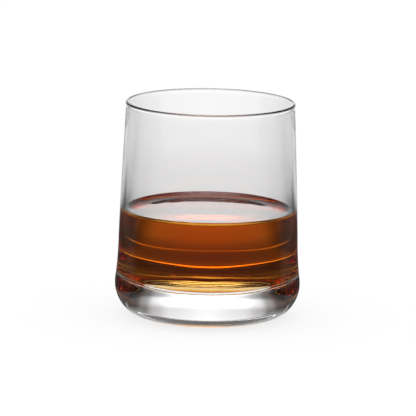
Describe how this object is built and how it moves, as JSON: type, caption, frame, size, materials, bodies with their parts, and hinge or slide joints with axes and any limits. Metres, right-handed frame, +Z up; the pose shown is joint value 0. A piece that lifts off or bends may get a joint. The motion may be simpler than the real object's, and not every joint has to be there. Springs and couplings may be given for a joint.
{
  "type": "whiskey tumbler",
  "caption": "Heavy-based clear glass whiskey tumbler with gently tapering wall and rounded foot, part filled with amber whiskey.",
  "frame": {"origin": "on the axis of the glass, in the plane of the ring that it stands on", "axes": "+Z up the axis of the glass, from its foot to its rim. The object is round, so +X and +Y are any two level directions at right angles"},
  "size_m": [0.0854, 0.0854, 0.1],
  "materials": {
    "clear_glass": "clear, polished",
    "whiskey": "clear amber liquid"
  },
  "bodies": {
    "root": {"glass_tumbler": "clear_glass", "whiskey": "whiskey"}
  },
  "joints": []
}
